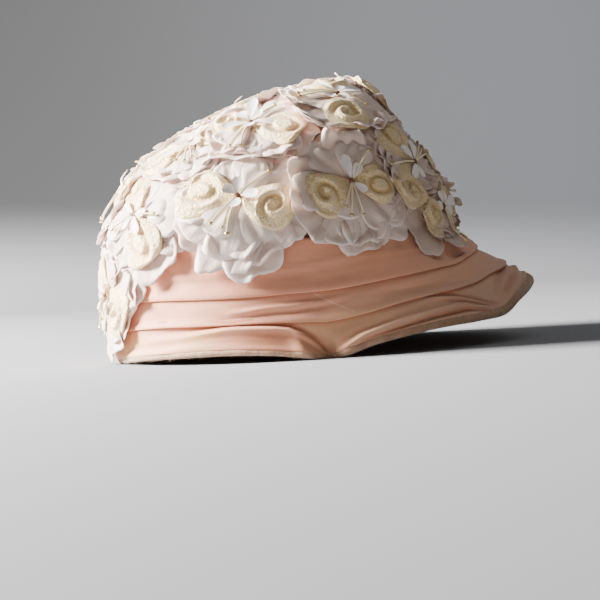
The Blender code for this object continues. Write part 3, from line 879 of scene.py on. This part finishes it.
def leaf(kind, length, halfWidth):
    # a flat petal: points, how far out each lies, turn, share along, share across, and faces
    s = petals[kind]
    out, turn, faces = roundGrid(s["rings"], s["spokes"])
    half = turn / 2
    neck = s["neck"]
    widest = (1 / (1 + neck)) ** 0.5 * (neck / (1 + neck)) ** (neck / 2)
    x = 1 - np.abs(np.sin(half)) ** s["square"]
    notches = bump(np.sin(half), 0, 0.15) + 0.5 * bump(np.abs(np.sin(half)), 0.6, 0.1)
    x = x * (1 - s.get("notch", 0) * notches)
    y = np.sin(half) * np.maximum(np.cos(half), 0) ** neck / widest
    x = s["middle"] + (x - s["middle"]) * out
    y = y * out
    co = np.stack([x * length, y * halfWidth, np.zeros(len(x))], axis=1)
    return co, out, turn, x, y, faces


def fray(co, out, length, rng, size):
    # the cut edge of a petal, a little uneven
    jog = 1 + rng.uniform(-1, 1, len(co)) * smooth((out - 0.9) / 0.1) * size / length
    co[:, :2] *= jog[:, None]


def puffPetal(length, halfWidth, rng):
    s = petals["puff"]
    co, out, turn, along, across, faces = leaf("puff", length, halfWidth)
    body = smooth(along / 0.35)
    z = s["pillow"] * rng.uniform(0.7, 1.2) * (1 - out**4) * body
    crease = rng.uniform(-0.25, 0.25)
    z -= s["valley"] * rng.uniform(0.4, 1.2) * bump(across, crease, 0.2) * body * (1 - out**2)
    z += s["rim"] * (bump(out, 0.92, 0.07) - 0.8 * bump(out, 0.78, 0.09)) * body
    z += rng.uniform(-1.6, 2.4) * mm * smooth((out - 0.55) / 0.45) * smooth((along - 0.3) / 0.5)
    z += 0.8 * mm * np.sin(turn * 2 + rng.uniform(0, 6)) * smooth((out - 0.6) / 0.4) * body
    # painted shade: darker near the heart and along the valley
    depth = 0.75 * bump(along, 0, 0.22) + 0.22 * bump(across, crease, 0.16) * body * (1 - out**2)
    co[:, 2] = z
    fray(co, out, length, rng, s["fray"])
    # the last value marks the paler band along the edge, a painted highlight
    return co, faces, depth, along, smooth((out - 0.86) / 0.1) * body


def scallopPetal(length, halfWidth, rng):
    s = petals["scallop"]
    co, out, turn, along, across, faces = leaf("scallop", length, halfWidth)
    edge = smooth((out - 0.45) / 0.55) * smooth((along - 0.35) / 0.4)
    ruffle = s["ruffle"] * edge * np.sin(turn * rng.uniform(3.0, 4.4) + rng.uniform(0, 6))
    z = 0.5 * mm * (1 - out**2) + ruffle
    z += s["pleat"] * np.sin(across * rng.uniform(7, 11) + rng.uniform(0, 6)) * smooth((along - 0.25) / 0.3)
    z += rng.choice([0.0, 1.0, 3.5]) * rng.uniform(0.6, 1.1) * mm * edge
    co[:, 2] = z
    # painted shade: darker towards the heart, under the petals above
    depth = 0.9 * (1 - smooth((along - 0.5) / 0.28))
    fray(co, out, length, rng, s["fray"])
    # the last value marks the paler band along the edge, a painted highlight
    return co, faces, depth, along, smooth((out - 0.84) / 0.1) * edge


def velvetPetal(length, halfWidth, rng, side, snail=None):
    # snail: whether it is wound like a snail's shell; None is the pair that shows best
    s = petals["velvet"]
    co, out, _, along, _, faces = leaf("velvet", length, halfWidth)
    x, y = (co[:, 0] - s["middle"] * length) / (0.38 * length), co[:, 1] / halfWidth
    x, y = x + rng.uniform(-0.1, 0.1), y + rng.uniform(-0.1, 0.1)
    r, where = np.hypot(x, y), np.arctan2(y, x)
    wound = ((where * side - 2.3 + (0 if snail is None else rng.uniform(-0.7, 0.7))) / (2 * math.pi)) % 1
    bulb = smooth((along - 0.2) / 0.15)
    if snail or (snail is None and side > 0):
        line = 0.16 + 0.48 * wound
        roll = bump(r, line, 0.165) + bump(r, line + 0.46, 0.13) * smooth((0.4 - wound) / 0.25)
        z = s["roll"] * np.minimum(roll, 1) * bulb
        # the groove only sets colour: painted shade beside the roll, with no change to the shape
        groove = bump(r, line - 0.24, 0.08) * smooth((wound - 0.45) / 0.2)
        groove += bump(r, line + 0.23, 0.07) * smooth((0.5 - wound) / 0.2)
    else:  # an oval island inside a low ring
        opening = 0.4 + 0.6 * smooth(wound * 4) * smooth((1 - wound) * 4)
        oval = np.hypot(x * 0.74, y * 1.3)
        island = s["island"] * (1 - smooth((oval - 0.30) / 0.14))
        z = (island + 0.7 * s["roll"] * bump(oval, 0.76, 0.17)) * bulb
        groove = bump(oval, 0.47, 0.10) * opening
    z -= 1.0 * mm * smooth((out - 0.9) / 0.1) * bulb
    z += 0.7 * mm * np.sin(where * 3 + rng.uniform(0, 6)) * smooth((r - 0.6) / 0.4)
    # painted shade: darker in the groove, just inside the edge and near the base
    depth = 1.1 * groove * bulb + 0.25 * bump(r, 0.92, 0.06) * bulb + 0.3 * bump(along, 0.1, 0.15)
    co[:, 2] = z
    return co, faces, np.clip(depth, 0, 1), along


def spoonPetal(length, halfWidth):
    co, out, _, along, _, faces = leaf("spoon", length, halfWidth)
    co[:, 2] = 0.8 * mm * out**2 * smooth(along / 0.5) - 0.4 * mm * smooth((along - 0.6) / 0.4)
    return co, faces


def stamenTube():
    s = petals["stamen"]

    def build():
        bpy.ops.mesh.primitive_cylinder_add(vertices=s["sides"], radius=s["radius"], depth=s["length"],
                                            location=(0, 0, s["length"] / 2))
        bpy.ops.object.transform_apply(location=True, rotation=True, scale=True)
        bpy.ops.object.mode_set(mode="EDIT")
        for k in range(1, s["rings"]):
            bpy.ops.mesh.select_all(action="SELECT")
            bpy.ops.mesh.bisect(plane_co=(0, 0, s["length"] * k / s["rings"]), plane_no=(0, 0, 1))
        bpy.ops.object.mode_set(mode="OBJECT")

    co, faces = pattern(build)
    return np.stack([co[:, 2], co[:, 1], -co[:, 0]], axis=1), faces


def stamenBead():
    s = petals["bead"]

    def build():
        bpy.ops.mesh.primitive_uv_sphere_add(segments=s["segments"], ring_count=s["rings"],
                                             radius=s["radius"])
        bpy.ops.object.mode_set(mode="EDIT")
        bpy.ops.mesh.select_all(action="SELECT")
        bpy.ops.transform.resize(value=(s["long"], 1, 1), center_override=(0, 0, 0))
        bpy.ops.object.mode_set(mode="OBJECT")

    return pattern(build)


stamenCo, stamenFaces = stamenTube()
beadCo, beadFaces = stamenBead()
print("stamen patterns made")


# Flowers: place, bearing and rise from the hub, angles of the two velvet petals, and how far the flower
# may hang in mm

flowerTable = [
    ("right_back", -157, 8.5, -58, 122, 44), ("right_middle", -126, 14, -15, 176, 42),
    ("right_front", -88, 21, 2, -150, 42), ("front_right", -33, 11, 20, 200, 20),
    ("front_left", 16, 14, -30, 150, 20), ("left_front", 65, 17, 25, 205, 40),
    ("left_middle", 104, 16, -20, 160, 44), ("left_back", 138, 12, 15, 195, 44),
    ("back_left", 166, 8, -50, 130, 42), ("nape", -170, -10, -30, 150, 35),
    ("back_centre", -177, 15, 0, 180, 42),
    ("slope_right_back", -152, 31, 40, 220, 48), ("slope_right", -132, 41, 4, 184, 48),
    ("slope_front_right", -48, 33, 130, 235, 48), ("slope_front", 2, 42, 10, 190, 48),
    ("slope_front_left", 50, 42, -40, 140, 48), ("slope_left", 106, 44, 30, 210, 48),
    ("slope_left_back", 141, 34, -15, 165, 48), ("slope_back", 173, 29, 55, 235, 48),
    ("top_right", -92, 63, -75, 105, 48), ("top_front", 20, 72, -25, 155, 48),
    ("top_left", 126, 67, 70, 250, 48), ("top_back", -168, 50, 5, 185, 48),
]
flowers = {}
for order, (place, bearing, rise, first, second, hang) in enumerate(flowerTable):
    b, r = math.radians(bearing), math.radians(rise)
    heart = np.array([math.cos(r) * math.cos(b), math.cos(r) * math.sin(b), math.sin(r)])
    girth = np.cross([0, 0, 1], heart)
    girth /= np.linalg.norm(girth)
    # higher on flowers low on the front: partly wear, which also crumples their edges, and partly painted
    # shade on the side the window light misses
    wornAndShaded = 0.55 * float(smooth((heart[0] + 0.45) / 0.85)) * float(smooth((0.95 - heart[2]) / 0.5))
    flowers[place] = {"heart": heart, "girth": girth, "upward": np.cross(heart, girth),
                      "velvets": (first, second), "hang": hang * mm, "order": order, "wornAndShaded": wornAndShaded,
                      "reach": float(np.linalg.norm(onSkin(heart[None, :], np.zeros(1))[0] - hub))}

# how neighbouring flowers lap over each other
meeting = {"lapOver": 5.5 * mm, "tuckUnder": 3.5 * mm, "lapLift": 1.8 * mm, "curl": 0.22, "soften": 2 * mm}


def roomAround(flower, spokes):
    # how far out each spoke may go, and how much the flower laps over its neighbour there
    limits, over = [], []
    for other in flowers.values():
        if other is flower:
            continue
        towards = spokes @ other["heart"]
        gap = 1 - float(flower["heart"] @ other["heart"])
        room = np.where(towards > 0.02, gap / np.maximum(towards, 0.02), 9.0) * flower["reach"]
        laps = flower["heart"][2] + 0.01 * flower["order"] > other["heart"][2] + 0.01 * other["order"]
        limits.append(room + (meeting["lapOver"] if laps else meeting["tuckUnder"]))
        over.append(float(laps))
    limits = np.array(limits)
    nearest = limits.min(axis=0)
    weight = np.exp(-(limits - nearest) / meeting["soften"])
    laps = (weight * np.array(over)[:, None]).sum(axis=0) / weight.sum(axis=0)
    return nearest - meeting["soften"] * 0.7 * np.log(weight.sum(axis=0)), laps


# where the flowers stand fuller (+) or are pressed flatter (-): bearing, rise and spread in degrees, share
pressed = [(180, 20, 9, 0.35), (175, 44, 20, -0.35), (-5, 57, 12, -0.65), (-5, 36, 12, -0.40),
           (0, 73, 9, 0.6)]


def standing(directions):
    d = directions / np.linalg.norm(directions, axis=1)[:, None]
    return 1 + sum(share * nearTo(d, bearing, rise, spread) for bearing, rise, spread, share in pressed)


def sew(flower, local, snug=0.0):
    # local points, in metres across the flower and off the ground, onto the hat
    offset = flower["girth"] * local[:, :1] + flower["upward"] * local[:, 1:2]
    length = np.maximum(np.linalg.norm(offset, axis=1), 1e-7)
    spokes = offset / length[:, None]
    limit, laps = roomAround(flower, spokes)
    limit = limit - snug
    share = length / limit
    held = np.where(share > 0.8, 0.8 + 0.2 * np.tanh((share - 0.8) / 0.2), share)
    lift = local[:, 2] + (share - held) * limit * meeting["curl"]
    lift = lift + laps * meeting["lapLift"] * smooth((held - 0.5) / 0.5)
    lift = lift * (1 - 0.35 * (1 - laps) * smooth((held - 0.6) / 0.4))
    towards = flower["heart"] + spokes * (held * limit / flower["reach"])[:, None]
    return onSkin(towards, 0.3 * mm + np.maximum(lift * standing(towards), 0))


def spin(co, degrees):
    a = math.radians(degrees)
    x = co[:, 0] * math.cos(a) - co[:, 1] * math.sin(a)
    y = co[:, 0] * math.sin(a) + co[:, 1] * math.cos(a)
    return np.stack([x, y, co[:, 2]], axis=1)


def roomAlong(flower, degrees):
    # how long a petal may be, with less room for those that hang down
    a = math.radians(degrees)
    spoke = (flower["girth"] * math.cos(a) + flower["upward"] * math.sin(a))[None, :]
    room = roomAround(flower, spoke)[0]
    hang = mix(60 * mm, flower["hang"] + 1 * mm, float(smooth(0.5 - spoke[0, 2])))
    return min(float(room[0]), hang)


class Gather:
    # collects the petals that make one piece, with their blush, their painted shade (depth) and their painted
    # edge highlight (rim)
    def __init__(self):
        self.co, self.faces, self.uv, self.kinds, self.count = [], [], [], [], 0
        self.tones = {"depth": [], "blush": [], "rim": []}

    def take(self, co, faces, uv, kind=0, depth=0.0, blush=0.0, rim=0.0):
        self.co.append(co)
        self.faces += [tuple(v + self.count for v in f) for f in faces]
        self.uv.append(uv)
        self.kinds += [kind] * len(faces)
        self.count += len(co)
        for label, values in (("depth", depth), ("blush", blush), ("rim", rim)):
            self.tones[label].append(np.broadcast_to(values, len(co)))

    def piece(self, name, materials, nodes, slot, wornAndShaded=0.0):
        tones = {label: np.concatenate(values) for label, values in self.tones.items()}
        tones["wornAndShaded"] = np.full(self.count, wornAndShaded)
        piece = makePiece(name, np.vstack(self.co), self.faces, materials, nodes, np.vstack(self.uv),
                          tones)
        piece.data.polygons.foreach_set("material_index", np.array(self.kinds, np.int32))
        return piece


# the ranks of petals from the ground up: kind, angles, height at the heart, the middle and the tip in mm,
# length, width, how far it keeps inside the room in mm, and the most blush
ranks = [
    ("scallop", (0, 46, 90, 134, 180, 226, 270, 314), (0.3, 0.8, 0.8), 1.0, 1.0, 0, 0.55),
    ("scallop", (30, 90, 150, 205, 275, 330), (0.7, 1.2, 1.2), 0.88, 0.8, 5, 0.35),
    ("puff", (50, 92, 134, 226, 270, 312), (1.3, 1.7, 1.7), 1.0, 1.0, 6, 0.12),
    ("puff", (70, 250), (2.0, 2.9, 3.2), 0.66, 0.85, 10, 0.05),
]

# petals that fill open corners: kind, angle, length and height at the tip in mm
extraPetals = {
    "right_front": [("scallop", -33, 51, 1.0), ("puff", -28, 42, 2.0)],
    "front_right": [("scallop", -158, 38, 1.0)],
    "right_middle": [("scallop", -75, 50, 1.0)],
}
petalMakers = {"scallop": scallopPetal, "puff": puffPetal}


def besideVelvets(flower, angle):
    # the puffed petals keep clear of the second velvet petal
    off = (angle - flower["velvets"][1] + 180) % 360 - 180
    return angle + math.copysign(max(42 - abs(off), 0), off)


def organzaFlower(place, flower):
    rng = np.random.default_rng(100 + flower["order"])
    gather = Gather()

    def sewOn(made, flat, angle, blush):
        co, faces, depth, _, rim = made
        sewn = sew(flower, spin(co, angle))
        gather.take(sewn, faces, flat, depth=np.clip(depth, 0, 1), blush=blush, rim=rim)

    for kind, angle, length, height in extraPetals.get(place, []):
        made = petalMakers[kind](length * mm, petals[kind]["halfWidth"], rng)
        co, along = made[0], made[3]
        flat = co[:, :2].copy()
        co[:, 2] += height * mm * along
        sewOn(made, flat, angle, 0.2)
    for rank, (kind, angles, heights, long, wide, inside, mostBlush) in enumerate(ranks):
        for k, spread in enumerate(angles):
            angle = flower["velvets"][0] + spread + rng.uniform(-8, 8)
            if kind == "puff":
                angle = besideVelvets(flower, angle)
            wanted = petals[kind]["length"] * long * rng.uniform(0.84, 1.06)
            room = roomAlong(flower, angle) - inside * mm
            fuller = 1.3 if rank == 0 and math.sin(math.radians(angle)) > -0.4 else 1.0
            length = max(min(wanted * fuller, room), 13 * mm)
            halfWidth = petals[kind]["halfWidth"] * wide * rng.uniform(0.9, 1.12) * (length / wanted) ** 0.4
            made = petalMakers[kind](length, halfWidth, rng)
            co, along = made[0], made[3]
            flat = co[:, :2].copy() + rank * 0.1
            co[:, 1] += 2.0 * mm * rng.uniform(-1, 1) * np.sin(math.pi * along)
            crowd = float(smooth((wanted - room) / (14 * mm)))
            squeezed = 1.2 * mm * crowd * smooth((along - 0.5) / 0.5)
            co[:, 2] += np.interp(along, [0, 0.5, 1], heights) * mm + squeezed
            co[:, 2] += 0.5 * mm * (k % 2)
            frill = np.sin(9 * co[:, 1] / halfWidth + 2 * k) * smooth((along - 0.5) / 0.4)
            co[:, 2] += (0.3 + 2.0 * flower["wornAndShaded"]) * mm * frill
            if kind == "scallop" and flower["heart"][2] > 0.25:
                co[:, 2] += rng.choice([0.0, 1.5, 3.5]) * mm * smooth((along - 0.6) / 0.4)
            sewOn(made, flat, angle, mostBlush * rng.uniform(0.1, 1.0))
    piece = gather.piece("organza_" + place, [organza], ["flower_" + place], "organza", flower["wornAndShaded"])
    finish(piece, ("SOLIDIFY", {"thickness": petals["organzaWall"], "offset": 0.0}))


# velvet petals that are smaller than the rest: flower and side, then share of the full size
smallVelvets = {("right_front", -1): 0.78, ("right_front", 1): 0.85}


def velvetPair(place, flower):
    rng = np.random.default_rng(300 + flower["order"])
    gather = Gather()
    for side, angle in zip((1, -1), flower["velvets"]):
        room = roomAlong(flower, angle) - 1 * mm
        full = petals["velvet"]["length"]
        length = min(full, max(room, 0.62 * full)) * smallVelvets.get((place, side), 1.0)
        halfWidth = petals["velvet"]["halfWidth"] * (length / full) ** 0.5
        snail = None if place == "right_middle" else bool(rng.random() < 0.5)
        co, faces, depth, along = velvetPetal(length, halfWidth, rng, side, snail)
        flat = co[:, :2].copy()
        co[:, 2] += np.interp(along, [0, 0.3, 1], [3.2, 5.3, 5.3]) * mm
        gather.take(sew(flower, spin(co, angle), snug=2 * mm), faces, flat, depth=depth)
    piece = gather.piece("velvetPair_" + place, [velvets["creamVelvet"]], ["velvet_pair_" + place],
                         "petal_velvet", flower["wornAndShaded"])
    finish(piece, ("SOLIDIFY", {"thickness": petals["velvet"]["wall"], "offset": -1.0}))


def bendUp(co, length, lean, curve):
    # lifts a slim part off the ground: lean at its foot, curve towards its tip, both in degrees
    t = co[:, 0] / length
    steps = np.linspace(0, 1, 25)
    slope = np.radians(lean + curve * steps)
    x = np.concatenate([[0], np.cumsum(np.cos(slope[:-1]) / 24)]) * length
    z = np.concatenate([[0], np.cumsum(np.sin(slope[:-1]) / 24)]) * length
    here = np.radians(lean + curve * t)
    out = co.copy()
    out[:, 0] = np.interp(t, steps, x) - co[:, 2] * np.sin(here)
    out[:, 2] = np.interp(t, steps, z) + co[:, 2] * np.cos(here)
    return out


hearts = {
    "spoonAngles": (-82, -36, 14, 62, 128, 215), "spoonLengths": (1.08, 0.74), "spoonMissing": 0.15,
    "stamenAngles": (164, 176, 190, 330), "spoonFoot": (1.2 * mm, 0, 5.6 * mm),
    "stamenFoot": (1.0 * mm, 0, 5.6 * mm), "hole": (0, 0, 5.4 * mm), "holeSize": (0.9, 1.4, 1.0),
}


def flowerHeart(place, flower):
    s = hearts
    rng = np.random.default_rng(500 + flower["order"])
    gather = Gather()
    upright = flower["velvets"][0] + 90
    for k, spread in enumerate(s["spoonAngles"]):
        if rng.random() < s["spoonMissing"]:
            continue
        length = petals["spoon"]["length"] * rng.uniform(0.7, 1.35) * s["spoonLengths"][k % 2]
        flat, faces = spoonPetal(length, petals["spoon"]["halfWidth"] * rng.uniform(0.7, 1.15))
        co = bendUp(flat, length, rng.uniform(4, 36), rng.uniform(-40, 10)) + s["spoonFoot"]
        turned = spin(co, upright + spread + rng.uniform(-12, 12))
        gather.take(sew(flower, turned), faces, flat[:, :2])
    for spread in s["stamenAngles"]:
        angle = upright + spread + rng.uniform(-4, 4)
        grow = rng.uniform(0.85, 1.15)
        length = petals["stamen"]["length"] * grow
        lean, curve = rng.uniform(8, 20), rng.uniform(-30, -12)
        tube = bendUp(stamenCo * (grow, 1, 1), length, lean, curve) + s["stamenFoot"]
        gather.take(sew(flower, spin(tube, angle)), stamenFaces, stamenCo[:, :2], kind=1)
        tip = bendUp(beadCo + (length, 0, 0), length, lean, curve) + s["stamenFoot"]
        gather.take(sew(flower, spin(tip, angle)), beadFaces, beadCo[:, :2], kind=2)
    # painted shade: a dark brown bead fills the hole at the heart
    hole = beadCo * s["holeSize"] + s["hole"]
    gather.take(sew(flower, hole), beadFaces, beadCo[:, :2], kind=3, depth=1.0)
    materials = [trims[name] for name in ("whiteSatin", "creamThread", "goldBead", "darkHeart")]
    gather.piece("heart_" + place, materials, [], "organza")


for place, flower in flowers.items():
    organzaFlower(place, flower)
    velvetPair(place, flower)
    flowerHeart(place, flower)
print("flowers sewn on:", len(flowers))


# Floor, lights and camera

studio = {
    "floor": (0.240, 0.247, 0.262), "wallLeft": (0.032, 0.0325, 0.033), "wallRight": (0.092, 0.096, 0.106),
    "floorNear": -5.0, "floorBack": 0.9, "wallCurve": 0.6, "wallTop": 3.0, "halfWidth": 3.0,
    "shadeHalfWidth": 0.5, "wallFade": 0.11, "tilt": 0.066,
    "camera": (-7.2 * mm, -1100 * mm, 71.4 * mm), "target": (-10.0 * mm, 0, 29.5 * mm),
    "up": (0.066, 0, 0.998), "lens": 110.0, "room": (0.82, 0.80, 0.78), "roomStrength": 0.085,
}
# area lights: place, aim, size, power in watts and colour
lights = {
    "window": ((-1.30, 0.12, 0.68), (0, 0, 0.08), (0.5, 0.5), 268, (1.0, 0.975, 0.95)),
    "fill": ((0.7, -1.4, 0.6), (0, 0, 0.06), (1.2, 1.2), 0.5, (1.0, 0.86, 0.72)),
    "wall": ((1.1, 0.4, 1.9), (1.0, 1.3, 0.4), (2.0, 1.0), 13, (1.0, 1.0, 1.0)),
}


def easedShare(tree, value, start, end):
    node = add(tree, "ShaderNodeMapRange", interpolation_type="SMOOTHSTEP")
    tree.links.new(value, node.inputs["Value"])
    node.inputs["From Min"].default_value = start
    node.inputs["From Max"].default_value = end
    return node.outputs[0]


def makeBackdrop():
    # one sheet, flat where the hat stands and curved up into a wall that is darker on its left and lighter on
    # its right, as painted shade and painted light
    s = studio
    curve = [(s["floorBack"] + s["wallCurve"] * math.sin(a), s["wallCurve"] - s["wallCurve"] * math.cos(a))
             for a in np.linspace(0, math.pi / 2, 20)]
    profile = [(s["floorNear"], 0.0)] + curve + [(s["floorBack"] + s["wallCurve"], s["wallTop"])]
    co = [(x, y, z) for x in (-s["halfWidth"], s["halfWidth"]) for y, z in profile]
    n = len(profile)
    mesh = bpy.data.meshes.new("floor")
    mesh.from_pydata(co, [], [(k, n + k, n + k + 1, k + 1) for k in range(n - 1)])
    mesh.shade_smooth()
    material, tree, shader = newMaterial("paleFloor", 0.9)
    split = add(tree, "ShaderNodeSeparateXYZ")
    tree.links.new(objectVector(tree), split.inputs[0])
    reach = s["shadeHalfWidth"]
    sideways = math2(tree, "MAXIMUM", math2(tree, "MINIMUM", split.outputs[0], reach), -reach)
    # the floor meets the wall along a line tilted with the camera's roll, which also darkens the floor a
    # little on its right as painted shade
    climb = math2(tree, "ADD", split.outputs[2], math2(tree, "MULTIPLY", sideways, s["tilt"]))
    wall = blendColour(tree, easedShare(tree, sideways, -reach, reach), s["wallLeft"], s["wallRight"])
    shade = blendColour(tree, easedShare(tree, climb, 0.0, s["wallFade"]), s["floor"], wall)
    tree.links.new(shade, shader.inputs["Base Color"])
    mesh.materials.append(material)
    addToScene("floor", mesh)


def areaLight(name, place, aim, size, power, colour):
    light = bpy.data.lights.new(name, "AREA")
    light.shape = "RECTANGLE"
    light.size, light.size_y = size
    light.energy = power
    light.color = colour
    obj = addToScene(name, light)
    obj.location = place
    obj.rotation_euler = (Vector(aim) - Vector(place)).to_track_quat("-Z", "Y").to_euler()


def makeCamera():
    lens = bpy.data.cameras.new("camera")
    lens.lens = studio["lens"]
    lens.sensor_width = 36
    lens.clip_start = 0.05
    forward = (Vector(studio["target"]) - Vector(studio["camera"])).normalized()
    right = forward.cross(Vector(studio["up"])).normalized()
    axes = Matrix((right, right.cross(forward), -forward)).transposed()
    camera = addToScene("camera", lens)
    camera.matrix_world = Matrix.Translation(studio["camera"]) @ axes.to_4x4()
    bpy.context.scene.camera = camera


makeBackdrop()
for name, light in lights.items():
    areaLight(name, *light)
world = bpy.data.worlds.new("room")
bpy.context.scene.world = world
world.use_nodes = True
world.node_tree.nodes["Background"].inputs["Color"].default_value = (*studio["room"], 1)
world.node_tree.nodes["Background"].inputs["Strength"].default_value = studio["roomStrength"]
makeCamera()
print("floor, lights and camera ready")
